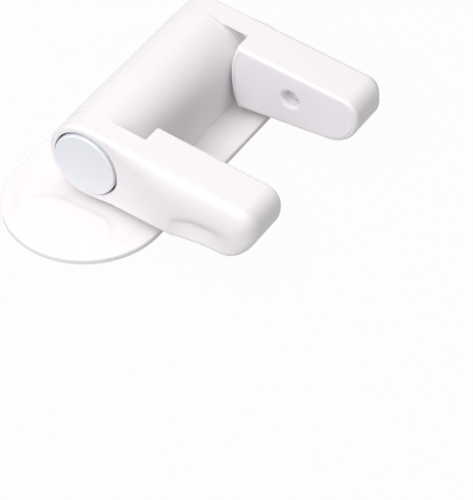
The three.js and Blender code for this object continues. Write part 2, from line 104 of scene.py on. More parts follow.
def mouldedAbs(name, colour, cloud, roughness):
    material, tree, shader, place = newMaterial(name)
    shader.inputs["IOR"].default_value = absFinish["ior"]
    flowScale = 1 / (absFinish["flowMm"] * mm)
    flow = addNode(tree, "ShaderNodeTexNoise", {"Scale": flowScale, "Detail": absFinish["flowDetail"]},
                   {"Vector": place})
    tones = {"data_type": "RGBA", colourMix["first"]: linear(colour), colourMix["second"]: linear(cloud)}
    clouded = addNode(tree, "ShaderNodeMix", tones, {"Factor": flow.outputs["Fac"]})
    tree.links.new(clouded.outputs[colourMix["result"]], shader.inputs["Base Color"])
    grainScale = 1 / (absFinish["grainMm"] * mm)
    grain = addNode(tree, "ShaderNodeTexNoise", {"Scale": grainScale, "Detail": absFinish["grainDetail"]},
                    {"Vector": place})
    spread = absFinish["roughSpread"]
    gloss = addNode(tree, "ShaderNodeMapRange", {"To Min": roughness - spread, "To Max": roughness + spread},
                    {"Value": flow.outputs["Fac"]})
    tree.links.new(gloss.outputs["Result"], shader.inputs["Roughness"])
    bump = addNode(tree, "ShaderNodeBump",
                   {"Strength": absFinish["grainStrength"], "Distance": absFinish["grainHeightMm"] * mm},
                   {"Height": grain.outputs["Fac"]})
    tree.links.new(bump.outputs["Normal"], shader.inputs["Normal"])
    return material


# Closed-cell acrylic foam tape: dull, with small cells cut open along its edge. Each cell is painted darker
# towards its middle, as painted shade in the pits.
foamFinish = {"cellMm": 0.45, "cellDepthMm": 0.05, "cellStrength": 0.8, "ior": 1.47, "roughness": 0.92}


def cutFoam(name, colour, pitShadeColour):
    material, tree, shader, place = newMaterial(name)
    shader.inputs["IOR"].default_value = foamFinish["ior"]
    shader.inputs["Roughness"].default_value = foamFinish["roughness"]
    cellScale = 1 / (foamFinish["cellMm"] * mm)
    cells = addNode(tree, "ShaderNodeTexVoronoi", {"Scale": cellScale}, {"Vector": place})
    depth = cells.outputs["Distance"]
    # the cells' pits get a darker colour: painted shade
    tones = {"data_type": "RGBA", colourMix["first"]: linear(pitShadeColour), colourMix["second"]: linear(colour)}
    pitShadedFoam = addNode(tree, "ShaderNodeMix", tones, {"Factor": depth})
    tree.links.new(pitShadedFoam.outputs[colourMix["result"]], shader.inputs["Base Color"])
    bump = addNode(tree, "ShaderNodeBump",
                   {"Strength": foamFinish["cellStrength"], "Distance": foamFinish["cellDepthMm"] * mm},
                   {"Height": depth})
    tree.links.new(bump.outputs["Normal"], shader.inputs["Normal"])
    return material


# Zinc-plated or drawn steel: a grey metal whose fine scratches spread its highlights
steelFinish = {"scratchMm": 0.25, "scratchDetail": 4, "stretch": 12}


def platedSteel(name, colour, roughest, smoothest):
    material, tree, shader, place = newMaterial(name)
    shader.inputs["Metallic"].default_value = 1
    shader.inputs["Base Color"].default_value = linear(colour)
    stretched = (1, 1 / steelFinish["stretch"], 1)
    drawn = addNode(tree, "ShaderNodeMapping", {"Scale": stretched}, {"Vector": place})
    scratchScale = 1 / (steelFinish["scratchMm"] * mm)
    scratches = addNode(tree, "ShaderNodeTexNoise",
                        {"Scale": scratchScale, "Detail": steelFinish["scratchDetail"]},
                        {"Vector": drawn.outputs["Vector"]})
    gloss = addNode(tree, "ShaderNodeMapRange", {"To Min": smoothest, "To Max": roughest},
                    {"Value": scratches.outputs["Fac"]})
    tree.links.new(gloss.outputs["Result"], shader.inputs["Roughness"])
    return material


whiteAbs = mouldedAbs("white_abs_moulded", "#f5f1f3", "#f3eff1", 0.48)
coverAbs = mouldedAbs("cover_abs_moulded", "#faf5fa", "#f7f2f7", 0.5)
buttonAbs = mouldedAbs("button_abs_moulded", "#edeff4", "#e9ecf2", 0.32)
screwLacquer = mouldedAbs("white_lacquered_steel", "#f0eef0", "#ecebed", 0.3)
# the foam's dark grey is partly its own grey and partly painted shade for the dark line under the plate's
# edge; the darker second colour is painted shade in the cells' pits
padFoam = cutFoam("acrylic_foam_cut", "#5a5a5e", "#3a3a3e")
zincSteel = platedSteel("zinc_plated_steel", "#b9bdc2", 0.42, 0.24)
springSteel = platedSteel("drawn_spring_steel", "#c3c6ca", 0.3, 0.16)
print("materials:", len(bpy.data.materials))


# Shaping helpers, with the distances in millimetres within which corners are one or lie in line
weld = 1e-4
hair = 1e-3
sharpDegrees = 30  # edges that bend more than this are shaded sharp


def smoothstep(value, start, end):
    share = min(max((value - start) / (end - start), 0), 1)
    return share * share * (3 - 2 * share)


def mix(first, second, share):
    return first + (second - first) * share


def roundOver(share, depth):  # fall of a rounded edge, none at its inner line and all of it at the edge
    share = min(max(share, 0), 1)
    return depth * (1 - sqrt(1 - share * share))


def arc(centre, radius, start, end, steps):  # points on an arc, with its angles in degrees
    angles = [radians(mix(start, end, i / steps)) for i in range(steps + 1)]
    return [(centre[0] + radius * cos(a), centre[1] + radius * sin(a)) for a in angles]


def vertsOf(geom):
    return [g for g in geom if isinstance(g, bmesh.types.BMVert)]


def chain(bm, points):
    verts = [bm.verts.new(point) for point in points]
    edges = [bm.edges.new(pair) for pair in zip(verts, verts[1:])]
    return verts + edges


def spun(points, steps):  # solid turned about the Y axis, from pairs of radius and place along Y
    bm = bmesh.new()
    outline = chain(bm, [(radius, place, 0) for radius, place in points])
    bmesh.ops.spin(bm, geom=outline, cent=(0, 0, 0), axis=(0, 1, 0), angle=2 * pi, steps=steps,
                   use_merge=True)
    bmesh.ops.remove_doubles(bm, verts=bm.verts, dist=weld)
    bmesh.ops.recalc_face_normals(bm, faces=bm.faces)
    return bm


def slab(low, high):  # plain block between two corners
    bm = bmesh.new()
    middle = (Vector(low) + Vector(high)) / 2
    size = Vector(high) - Vector(low)
    bmesh.ops.create_cube(bm, size=1, matrix=Matrix.Translation(middle) @ Matrix.Diagonal((*size, 1)))
    return bm


def slabRing(low, high, count):  # the same block, turned to even places round the Y axis
    ring = []
    for i in range(count):
        block = slab(low, high)
        turned = Matrix.Rotation(2 * pi * i / count, 3, "Y")
        bmesh.ops.rotate(block, cent=(0, 0, 0), matrix=turned, verts=block.verts)
        ring.append(block)
    return ring


def added(bm, other):  # puts the other form's mesh into this one
    mesh = bpy.data.meshes.new("added")
    other.to_mesh(mesh)
    other.free()
    bm.from_mesh(mesh)
    bpy.data.meshes.remove(mesh)
    return bm


def combined(bm, tool, operation):  # joins two closed forms, or cuts the second out of the first
    pair = []
    for form in (bm, tool):
        bmesh.ops.recalc_face_normals(form, faces=form.faces)
        mesh = bpy.data.meshes.new("form")
        form.to_mesh(mesh)
        form.free()
        pair.append(bpy.data.objects.new("form", mesh))
        bpy.context.scene.collection.objects.link(pair[-1])
    step = pair[0].modifiers.new("combine", "BOOLEAN")
    step.object = pair[1]
    step.operation = operation
    step.solver = "EXACT"
    bpy.context.view_layer.update()
    evaluated = pair[0].evaluated_get(bpy.context.evaluated_depsgraph_get())
    whole = bmesh.new()
    whole.from_mesh(evaluated.to_mesh())
    evaluated.to_mesh_clear()
    for one in pair:
        bpy.data.objects.remove(one)
    return whole


def finishPiece(name, bm, material, body, nodes, mirror=False):
    bmesh.ops.remove_doubles(bm, verts=bm.verts, dist=weld)
    bmesh.ops.recalc_face_normals(bm, faces=bm.faces)
    bmesh.ops.scale(bm, vec=(mm, -mm if mirror else mm, mm), verts=bm.verts)
    if mirror:
        bmesh.ops.reverse_faces(bm, faces=bm.faces)
    for face in bm.faces:
        face.smooth = True
    for edge in bm.edges:
        edge.smooth = edge.calc_face_angle(0) < radians(sharpDegrees)
    mesh = bpy.data.meshes.new(name)
    bm.to_mesh(mesh)
    bm.free()
    mesh.materials.append(material)
    piece = bpy.data.objects.new(name, mesh)
    bpy.context.scene.collection.objects.link(piece)
    evened = piece.modifiers.new("even shading", "WEIGHTED_NORMAL")
    evened.keep_sharp = True
    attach(piece, body)
    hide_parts(*nodes)
    return piece


# Base plate: a raised lip round a shallow trough, with a press pad and a thumb dimple at each end
plate = {
    "edgeRound": 0.6, "lipWidth": 4.7, "slope": 2.6, "troughDepth": 0.38,
    "padWidth": 29, "padLength": 22, "padCorner": 8,
    "dimpleRadius": 7.5, "dimpleDepth": 0.3, "dimpleInset": 15.2,
    "sections": 100, "rings": 70, "ringCrowding": 1.5,
}
plateLow, plateHigh = boxMm("base_plate")
plateEnd = plateHigh.x  # radius of the round ends
plateStraight = plateHigh.y - plateEnd


def plateFace(x, y):
    y = abs(y)
    fromEdge = plateEnd - hypot(x, max(0, y - plateStraight))
    halfSlope = plate["slope"] / 2
    trough = smoothstep(fromEdge, plate["lipWidth"] - halfSlope, plate["lipWidth"] + halfSlope)
    # the pad is a rounded rectangle that runs out over the end of the plate
    padX = abs(x) - plate["padWidth"] / 2 + plate["padCorner"]
    padY = plateHigh.y - plate["padLength"] + plate["padCorner"] - y
    outside = hypot(max(padX, 0), max(padY, 0)) + min(max(padX, padY), 0) - plate["padCorner"]
    trough *= smoothstep(outside, -halfSlope, halfSlope)
    across = hypot(x, y - plateHigh.y + plate["dimpleInset"]) / plate["dimpleRadius"]
    dimple = plate["dimpleDepth"] * max(0, 1 - across ** 2)
    rim = roundOver(1 - fromEdge / plate["edgeRound"], plate["edgeRound"])
    return plateHigh.z - plate["troughDepth"] * trough - dimple - rim


def makePlate():
    bm = bmesh.new()
    shares = [i / plate["rings"] for i in range(plate["rings"] + 1)]
    places = [plateEnd * (1 - share ** plate["ringCrowding"]) for share in shares]
    section = chain(bm, [(x, plateStraight, 0) for x in places])
    bmesh.ops.spin(bm, geom=section, cent=(0, plateStraight, 0), axis=(0, 0, 1), angle=pi,
                   steps=plate["sections"])
    bmesh.ops.remove_doubles(bm, verts=bm.verts, dist=weld)
    seam = [e for e in bm.edges if all(abs(v.co.y - plateStraight) < hair for v in e.verts)]
    drawn = bmesh.ops.extrude_edge_only(bm, edges=seam)["geom"]
    for vert in vertsOf(drawn):
        vert.co.y = 0
    bmesh.ops.mirror(bm, geom=bm.verts[:] + bm.edges[:] + bm.faces[:], axis="Y", merge_dist=hair)
    for vert in bm.verts:
        vert.co.z = plateFace(vert.co.x, vert.co.y)
    rim = [e for e in bm.edges if e.is_boundary]
    wall = bmesh.ops.extrude_edge_only(bm, edges=rim)["geom"]
    for vert in vertsOf(wall):
        vert.co.z = plateLow.z
    bmesh.ops.contextual_create(bm, geom=[g for g in wall if isinstance(g, bmesh.types.BMEdge)])
    return bm


finishPiece("plate_moulding", makePlate(), whiteAbs, "base", ["base_plate"])
print("plate made")


# Foam pad between the plate and the door
foam = {"steps": 128, "edgeRound": 0.15, "edgeSegments": 2}
foamHigh = boxMm("adhesive_pad")[1]


def makeFoam():
    bm = bmesh.new()
    bmesh.ops.create_circle(bm, cap_ends=True, segments=foam["steps"], radius=foamHigh.x)
    straight = foamHigh.y - foamHigh.x
    for vert in bm.verts:
        if abs(vert.co.y) > hair:
            vert.co.y += straight if vert.co.y > 0 else -straight
    raised = bmesh.ops.extrude_face_region(bm, geom=bm.faces[:])["geom"]
    bmesh.ops.translate(bm, vec=(0, 0, foamHigh.z), verts=vertsOf(raised))
    rims = [e for e in bm.edges if abs(e.verts[0].co.z - e.verts[1].co.z) < hair]
    bmesh.ops.bevel(bm, geom=rims, offset=foam["edgeRound"], affect="EDGES", segments=foam["edgeSegments"],
                    profile=0.5, material=-1)
    return bm


foamPad = finishPiece("foam_pad", makeFoam(), padFoam, "base", ["adhesive_pad"])
print("foam pad made")


# Wells for the buttons in the hubs, which run close beside the barrel's ends
well = {
    "proud": 1.2, "runningGap": 0.3, "wall": 2, "floor": 1.6, "mouth": 0.2, "mouthSteps": 6, "sides": 96,
}

# Barrel: an arch on straight legs that stand in the plate's trough
barrel = {
    "endRound": 0.2, "endSegments": 4, "endGap": 0.1, "arcSteps": 72, "bore": 11.0, "footSink": 0.05,
}
barrelLow, barrelHigh = boxMm("barrel_housing")


def makeBarrel():
    radius = barrelHigh.x
    end = barrelHigh.y + well["runningGap"] - barrel["endGap"]
    foot = barrelLow.z - plate["troughDepth"] - barrel["footSink"]
    bm = bmesh.new()
    arch = [(x, -end, z) for x, z in arc((0, pivotHeight), radius, 0, 180, barrel["arcSteps"])]
    legs = [(radius, -end, foot)], [(-radius, -end, foot)]
    outline = chain(bm, legs[0] + arch + legs[1])
    bmesh.ops.contextual_create(bm, geom=vertsOf(outline))
    drawn = bmesh.ops.extrude_face_region(bm, geom=bm.faces[:])["geom"]
    bmesh.ops.translate(bm, vec=(0, 2 * end, 0), verts=vertsOf(drawn))
    rims = [e for e in bm.edges
            if abs(e.verts[0].co.y - e.verts[1].co.y) < hair and max(v.co.z for v in e.verts) > foot + hair]
    bmesh.ops.bevel(bm, geom=rims, offset=barrel["endRound"], affect="EDGES", segments=barrel["endSegments"],
                    profile=0.5, material=-1)
    past = 2 * barrelHigh.y
    bore = spun([(0, -past), (barrel["bore"], -past), (barrel["bore"], past), (0, past)], barrel["arcSteps"])
    bmesh.ops.translate(bore, vec=(0, 0, pivotHeight), verts=bore.verts)
    return combined(bm, bore, "DIFFERENCE")


finishPiece("barrel_moulding", makeBarrel(), whiteAbs, "base", ["barrel_housing"])
print("barrel made")


# Arms: the far one is modelled about the pivot, u along the arm and v across it
# The near one is its mirror image
arm = {
    "tipUpper": 7.7, "tipLower": 8.8, "tipRadiusUpper": 5.4, "tipRadiusLower": 11.1,
    "noseRadius": 30, "noseClearance": 0.64, "edgeRound": 1.2, "blend": 6,
    "flare": 2.8, "rampStart": 8, "rampEnd": 30,
    "roundWidthUpper": 9.8, "roundDepthUpper": 4.3, "roundWidthLower": 1.6, "roundDepthLower": 1.6,
    "tipWidthUpper": 8, "tipDepthUpper": 5.5, "tipWidthLower": 4.6, "tipDepthLower": 4.4,
    "rimRound": 1.2, "rimFlat": 0.2, "recessDepth": 2.1, "ledgeWidth": 1.6, "hollowDepth": 9.5,
    "rows": 40, "hubSteps": 60, "rootColumns": 26, "columns": 110, "endSteps": 40, "rimSteps": 6,
    "tipCrowding": 2, "meetingRounds": 12,
}
scoop = {
    "start": 30.8, "length": 20.4, "deepest": 0.45, "browStart": -1.3, "browEnd": 2, "browShare": 0.38,
    "runOut": 0.15, "depth": 3.2, "softness": 0.12,
}
ease = {"start": 37, "inset": 2.2, "rounds": 60, "factor": 0.5}
notch = {"depth": 4, "lip": 0.8, "wall": 0.3, "foot": 4.5, "steps": 14, "meetingRounds": 8}
spigot = {
    "gap": 0.3, "wall": 1.6, "slotLand": 0.6, "web": 2, "key": 5.5, "slots": 4, "slotWidth": 4.5, "over": 1,
}
shellLow, shellHigh = boxMm("arm_shell_far")
buttonLow, buttonHigh = boxMm("button_far")
armReach = shellHigh.x
hubRadius = -shellLow.x
hubInner = barrelHigh.y + well["runningGap"]
hubFace = buttonHigh.y - well["proud"]
armInner = boxMm("arm_cover_far")[0].y
wellRadius = hubRadius - well["wall"]
wellFloor = hubInner + well["floor"]
spigotRadius = barrel["bore"] - spigot["gap"]
spigotBore = spigotRadius - spigot["wall"]
webInner = shellLow.y
webOuter = webInner + spigot["web"]
seatInset = arm["rimRound"] + arm["rimFlat"]  # from the arm's edge to the seat of its cover


def armTaper(side):  # slope of the straight side from the hub to the tip
    height = arm["tip" + side]
    return asin(hubRadius / hypot(armReach, height)) - atan2(height, armReach)


def armEdge(u, side, inset=0):  # half-width on one side of the pivot line: hub, tangent and the tip's arc
    taper = armTaper(side)
    centre = armReach - arm["tipRadius" + side]
    radius = arm["tipRadius" + side] - inset
    hub = hubRadius - inset
    if u > centre + radius * sin(taper):
        middle = (hub - radius) / cos(taper) - centre * tan(taper)
        return middle + sqrt(max(0, radius ** 2 - (u - centre) ** 2))
    if u < hub * sin(taper):
        return sqrt(hub ** 2 - u ** 2)
    return hub / cos(taper) - u * tan(taper)


def sideFall(u, v, side, growth):  # fall of the rounding along one side, which goes over into the tip's
    taper = armTaper(side)
    radius = arm["tipRadius" + side]
    across = v if side == "Upper" else -v
    ahead = u - armReach + radius
    beside = across - (hubRadius - radius) / cos(taper) + (armReach - radius) * tan(taper)
    turned = atan2(beside, ahead) / (pi / 2 - taper)
    fromSide = (armEdge(u, side) - across) * cos(taper)
    fromTip = armReach - u
    if ahead > 0 and 0 < turned < 1:
        tipShare = smoothstep(turned, 1, 0)
        distance = radius - hypot(ahead, beside)
    elif beside > 0:
        tipShare = 0
        distance = fromSide
    elif ahead > 0:
        tipShare = 1
        distance = fromTip
    else:
        tipShare = beside / (ahead + beside) if beside else 0
        distance = min(fromSide, fromTip)
    height = smoothstep(v, -arm["tipLower"], arm["tipUpper"])
    tipWidth = mix(arm["tipWidthLower"], arm["tipWidthUpper"], height)
    tipDepth = mix(arm["tipDepthLower"], arm["tipDepthUpper"], height)
    width = mix(mix(arm["edgeRound"], arm["roundWidth" + side], growth), tipWidth, tipShare)
    depth = mix(mix(arm["edgeRound"], arm["roundDepth" + side], growth), tipDepth, tipShare)
    return roundOver(1 - distance / width, depth)


def scoopFall(u, v, lower):  # finger hollow under a brow: it starts at a crease and runs out below
    along = (u - scoop["start"]) / scoop["length"]
    brow = mix(scoop["browStart"], scoop["browEnd"], along)
    across = (brow - v) / (brow - lower)
    if along <= 0 or along >= 1 or across <= 0:
        return 0
    deepest = scoop["deepest"]
    if along < deepest:
        lengthwise = sin(pi / 2 * along / deepest)
    else:
        lengthwise = cos(pi / 2 * (along - deepest) / (1 - deepest)) ** 2
    under = (across / scoop["browShare"]) ** 2
    floor = mix(1, scoop["runOut"], (across - scoop["browShare"]) / (1 - scoop["browShare"]))
    soft = scoop["softness"]
    crosswise = min(under, floor) - soft * log(1 + exp(-abs(under - floor) / soft))
    return scoop["depth"] * lengthwise * max(0, crosswise)


def outerFace(u, v):  # place of the outer face along Y
    growth = min(max((u - arm["rampStart"]) / (arm["rampEnd"] - arm["rampStart"]), 0), 1)
    falls = [sideFall(u, v, side, growth) for side in ("Upper", "Lower")]
    blended = sum(fall ** arm["blend"] for fall in falls) ** (1 / arm["blend"])
    return hubFace + arm["flare"] * growth - blended - scoopFall(u, v, -armEdge(u, "Lower"))


def blockEnd(v, inset=0):  # curved inner end of the arm's thick part, which bulges towards the barrel
    centre = barrelHigh.x + arm["noseClearance"] + arm["noseRadius"]
    return centre - sqrt((arm["noseRadius"] - inset) ** 2 - v ** 2)


def rowPlace(u, share, inset=0):  # a row's place across the arm, drawn towards the tip's middle
    upper = armEdge(u, "Upper", inset)
    lower = -armEdge(u, "Lower", inset)
    middle = (upper + lower) / 2 * smoothstep(u, hubRadius, armReach - inset)
    return mix(middle, upper if share > 0 else lower, abs(share))


def stepPlace(share, inset=0):  # where a row across the arm meets the thick part's end
    u = blockEnd(0, inset)
    for _ in range(arm["meetingRounds"]):
        u = blockEnd(rowPlace(u, share, inset), inset)
    return u


def fromOutline(point):
    sides = armEdge(point.x, "Upper") - point.z, armEdge(point.x, "Lower") + point.z
    return min(armReach - point.x, *sides)


def outerSheet(bm):
    # the half section over the pivot is spun round the back of the hub
    shares = [sin(pi / 2 * i / arm["rows"]) for i in range(arm["rows"] + 1)]
    edge = arm["edgeRound"]
    falls = [roundOver(1 - (1 - share) * hubRadius / edge, edge) for share in shares]
    section = chain(bm, [(0, hubFace - fall, share * hubRadius) for share, fall in zip(shares, falls)])
    bmesh.ops.spin(bm, geom=section, cent=(0, 0, 0), axis=(0, -1, 0), angle=pi, steps=arm["hubSteps"])
    # a grid carries it on to the tip, with one of its lines at the thick part's end
    lines = arm["rootColumns"] + arm["columns"]
    sheet = bmesh.ops.create_grid(bm, x_segments=lines, y_segments=2 * arm["rows"], size=0.5)["verts"]
    half = max(vert.co.x for vert in sheet)
    for vert in sheet:
        line = round((vert.co.x / half + 1) / 2 * lines)
        evenShare = vert.co.y / half
        share = sin(pi / 2 * evenShare)
        start = stepPlace(share)
        if line <= arm["rootColumns"]:
            u = start * line / arm["rootColumns"]
        else:
            left = 1 - (line - arm["rootColumns"]) / arm["columns"]
            u = mix(armReach, start, left ** arm["tipCrowding"])
        v = rowPlace(u, mix(share, evenShare, smoothstep(u, hubRadius, armReach)))
        vert.co = (u, outerFace(u, v), v)
    bmesh.ops.remove_doubles(bm, verts=bm.verts, dist=hair)
    # the lines where the roundings and the hollow meet near the tip are eased
    ahead = [vert for vert in bm.verts if vert.co.x > ease["start"]]
    meeting = [vert for vert in ahead if fromOutline(vert.co) > ease["inset"]]
    for _ in range(ease["rounds"]):
        bmesh.ops.smooth_vert(bm, verts=meeting, factor=ease["factor"], use_axis_x=False, use_axis_y=True,
                              use_axis_z=False)


def blockOutline(inset):  # outline of the thick part: upper edge, tip, lower edge and curved end
    reach = armReach - inset
    spacing = [(1 - i / arm["columns"]) ** arm["tipCrowding"] for i in range(arm["columns"] + 1)]
    edges = []
    for share in (1, -1):
        places = [mix(reach, stepPlace(share, inset), left) for left in spacing]
        edges.append([(u, rowPlace(u, share, inset)) for u in places])
    tip = [(reach, rowPlace(reach, 1 - i / arm["rows"], inset)) for i in range(1, 2 * arm["rows"])]
    heights = [mix(edges[1][0][1], edges[0][0][1], i / arm["endSteps"]) for i in range(1, arm["endSteps"])]
    return edges[0] + tip + edges[1][::-1] + [(blockEnd(v, inset), v) for v in heights]


def stackedLoops(bm, sections):  # walls between outlines of the thick part, each at an inset and a place
    loops = [[bm.verts.new((u, place, v)) for u, v in blockOutline(inset)] for inset, place in sections]
    for first, second in zip(loops, loops[1:]):
        for i in range(len(first)):
            bm.faces.new((first[i - 1], first[i], second[i], second[i - 1]))
    return loops


def makeArmShell():
    bm = bmesh.new()
    outerSheet(bm)
    drawn = bmesh.ops.extrude_edge_only(bm, edges=[e for e in bm.edges if e.is_boundary])["geom"]
    for vert in vertsOf(drawn):
        vert.co.y = hubInner
    # the thick part goes on inwards to a rounded rim, a narrow flat and the seat for the cover
    bend = arc((arm["rimRound"], armInner + arm["rimRound"]), arm["rimRound"], 180, 270, arm["rimSteps"])
    ledge = armInner + arm["recessDepth"]
    hollow = seatInset + arm["ledgeWidth"]
    depth = armInner + arm["hollowDepth"]
    seat = [(seatInset, armInner), (seatInset, ledge), (hollow, ledge), (hollow, depth)]
    bm.faces.new(stackedLoops(bm, [(0, hubInner)] + bend + seat)[-1])
    bmesh.ops.remove_doubles(bm, verts=bm.verts, dist=hair)
    bmesh.ops.contextual_create(bm, geom=[e for e in bm.edges if e.is_boundary])
    bmesh.ops.recalc_face_normals(bm, faces=bm.faces)
    return bm


def makeSpigot():
    root = hubInner + well["floor"] / 2
    return spun([(0, webInner), (spigotRadius, webInner), (spigotRadius, root), (0, root)], well["sides"])


def makeWell():  # room for the button and its tube, with a rounded mouth
    mouth = well["mouth"]
    throat = [(0, webOuter), (spigotBore, webOuter), (spigotBore, wellFloor), (wellRadius, wellFloor)]
    flared = arc((wellRadius + mouth, hubFace - mouth), mouth, 180, 90, well["mouthSteps"])
    above = hubFace + 2 * arm["flare"]
    return spun(throat + flared + [(wellRadius + mouth, above), (0, above)], well["sides"])


def makeLugSlots():
    bm = bmesh.new()
    half = spigot["slotWidth"] / 2
    low = (spigotBore - spigot["over"], webOuter, -half)
    high = (spigotRadius + spigot["over"], hubInner - spigot["slotLand"], half)
    for slot in slabRing(low, high, spigot["slots"]):
        added(bm, slot)
    return bm


def makeNotches():  # pockets beside the barrel's end, one above the pivot line and one below it
    bm = bmesh.new()
    rim = barrelHigh.x + notch["wall"]
    steps = notch["steps"]
    for side, sign in (("Upper", 1), ("Lower", -1)):
        byBarrel = byBlock = notch["foot"]
        for _ in range(notch["meetingRounds"]):
            byBarrel = armEdge(sqrt(rim ** 2 - byBarrel ** 2), side, notch["lip"])
            byBlock = armEdge(blockEnd(byBlock), side, notch["lip"])
        rising = [mix(notch["foot"], byBarrel, i / steps) for i in range(steps + 1)]
        falling = [mix(byBlock, notch["foot"], i / steps) for i in range(steps + 1)]
        outline = [(sqrt(rim ** 2 - v ** 2), v) for v in rising]
        outline += [(blockEnd(v) - notch["wall"], v) for v in falling]
        mouth = bm.faces.new([bm.verts.new((u, barrelHigh.y, sign * v)) for u, v in outline])
        drawn = bmesh.ops.extrude_face_region(bm, geom=[mouth])["geom"]
        bmesh.ops.translate(bm, vec=(0, well["runningGap"] + notch["depth"], 0), verts=vertsOf(drawn))
    return bm


def armShell():
    body = combined(makeArmShell(), makeSpigot(), "UNION")
    body = combined(body, makeWell(), "DIFFERENCE")
    body = combined(body, makeNotches(), "DIFFERENCE")
    half = spigot["key"] / 2
    keyHole = slab((-half, webInner - spigot["over"], -half), (half, webOuter + spigot["over"], half))
    body = combined(body, keyHole, "DIFFERENCE")
    return combined(body, makeLugSlots(), "DIFFERENCE")


# Covers: flat lids in the arms' inner faces, each with a screw's hole whose lip is rounded
cover = {
    "gap": 0.05, "edgeRound": 0.12, "holeRadius": 2.8, "lip": 1.2, "lipSteps": 8, "holeDepth": 4.4,
    "cupWall": 1.2, "cupFloor": 1.4, "cupRoot": 1, "passage": 1.25, "passageLength": 3, "over": 1,
    "sides": 64, "thickness": 2,
}
screwPlace = sum(boxMm("cover_screw_far"), Vector()).x / 2


def makeArmCover():
    bm = bmesh.new()
    outside = seatInset + cover["gap"]
    edge = cover["edgeRound"]
    bend = arc((outside + edge, armInner + edge), edge, 270, 180, arm["rimSteps"])
    loops = stackedLoops(bm, bend + [(outside, armInner + cover["thickness"])])
    for loop in (loops[0], loops[-1]):
        bm.faces.new(loop)
    bmesh.ops.recalc_face_normals(bm, faces=bm.faces)
    floor = armInner + cover["holeDepth"]
    cupRadius = cover["holeRadius"] + cover["cupWall"]
    cupRoot = armInner + cover["thickness"] - cover["cupRoot"]
    cupEnd = floor + cover["cupFloor"]
    cup = spun([(0, cupRoot), (cupRadius, cupRoot), (cupRadius, cupEnd), (0, cupEnd)], cover["sides"])
    lip = cover["lip"]
    passageEnd = floor + cover["passageLength"]
    passage = [(0, passageEnd), (cover["passage"], passageEnd), (cover["passage"], floor)]
    mouth = arc((cover["holeRadius"] + lip, armInner + lip), lip, 180, 270, cover["lipSteps"])
    above = armInner - cover["over"]
    opening = [(cover["holeRadius"] + lip, above), (0, above)]
    hole = spun(passage + [(cover["holeRadius"], floor)] + mouth + opening, cover["sides"])
    for form in (cup, hole):
        bmesh.ops.translate(form, vec=(screwPlace, 0, 0), verts=form.verts)
    return combined(combined(bm, cup, "UNION"), hole, "DIFFERENCE")


# Buttons: a crowned cap, a skirt in the hub's well, and a tube with four lugs in the spigot
button = {
    "edgeRound": 0.6, "edgeSteps": 8, "sideGap": 0.35, "crown": 0.2, "crownRings": 10, "wall": 1.6,
    "tubeGap": 0.25, "lugs": 4, "lugLength": 1.5, "lugWidth": 4, "lugRoot": 0.4, "travel": 2.6,
    "seatGap": 0.25, "sides": 96,
}


def makeButton():
    radius = buttonHigh.x - button["sideGap"]
    face = buttonHigh.y
    edge = button["edgeRound"]
    inside = face - button["wall"]
    tube = spigotBore - button["tubeGap"]
    bore = tube - button["wall"]
    seat = wellFloor + button["travel"] + button["seatGap"]
    shoulder = face - button["crown"] - edge
    rim = arc((radius - edge, shoulder), edge, 0, 90, button["edgeSteps"])
    rings = button["crownRings"]
    crown = [(radius - edge) * (1 - i / rings) for i in range(1, rings)]
    dome = [(r, face - button["crown"] * (r / (radius - edge)) ** 2) for r in crown]
    sleeve = [(0, inside), (bore, inside), (bore, buttonLow.y), (tube, buttonLow.y)]
    skirt = [(tube, seat), (radius, seat)]
    bm = spun(sleeve + skirt + rim + dome + [(0, face)], button["sides"])
    half = button["lugWidth"] / 2
    low = (bore + button["lugRoot"], buttonLow.y, -half)
    high = (spigotRadius, buttonLow.y + button["lugLength"], half)
    for lug in slabRing(low, high, button["lugs"]):
        bm = combined(bm, lug, "UNION")
    return bm


# Cover screws: pan heads with a hexagonal socket
screw = {
    "radius": 1, "pointRadius": 0.25, "pointLength": 1.25, "headRadius": 2.3, "headHeight": 1.6,
    "rimHeight": 0.35, "domeSteps": 8, "socketRadius": 1.05, "socketDepth": 0.7, "socketSides": 6,
    "sides": 32,
}


def makeCoverScrew():
    low, high = boxMm("cover_screw_far")
    top = low.y
    seat = top + screw["headHeight"]
    rimTop = seat - screw["rimHeight"]
    dome = arc((0, 0), 1, 0, 90, screw["domeSteps"])
    head = [(screw["headRadius"] * x, mix(rimTop, top, y)) for x, y in dome]
    point = [(0, high.y), (screw["pointRadius"], high.y), (screw["radius"], high.y - screw["pointLength"])]
    neck = [(screw["radius"], seat), (screw["headRadius"], seat)]
    bm = spun(point + neck + head, screw["sides"])
    socket = bmesh.new()
    bmesh.ops.create_cone(socket, cap_ends=True, segments=screw["socketSides"], radius1=screw["socketRadius"],
                          radius2=screw["socketRadius"], depth=2 * screw["socketDepth"],
                          matrix=Matrix.Translation((0, top, 0)) @ Matrix.Rotation(pi / 2, 4, "X"))
    bm = combined(bm, socket, "DIFFERENCE")
    bmesh.ops.translate(bm, vec=(screwPlace, 0, 0), verts=bm.verts)
    return bm


# Button springs: a wire ring spun and drawn along the pivot
spring = {"wire": 0.8, "radius": 5.7, "turns": 5, "stepsPerTurn": 28, "wireSides": 12}


def makeSpring():
    low, high = boxMm("button_spring_far")
    bm = bmesh.new()
    first = low.y + spring["wire"] / 2
    rise = high.y - low.y - spring["wire"]
    steps = spring["turns"] * spring["stepsPerTurn"]
    wire = bmesh.ops.create_circle(bm, segments=spring["wireSides"], radius=spring["wire"] / 2,
                                   matrix=Matrix.Translation((spring["radius"], first, 0)))["verts"]
    bmesh.ops.spin(bm, geom=wire + bm.edges[:], cent=(0, 0, 0), axis=(0, 1, 0), dvec=(0, rise / steps, 0),
                   angle=2 * pi * spring["turns"], steps=steps)
    ends = [e for e in bm.edges if e.is_boundary]
    bmesh.ops.holes_fill(bm, edges=ends)
    return bm


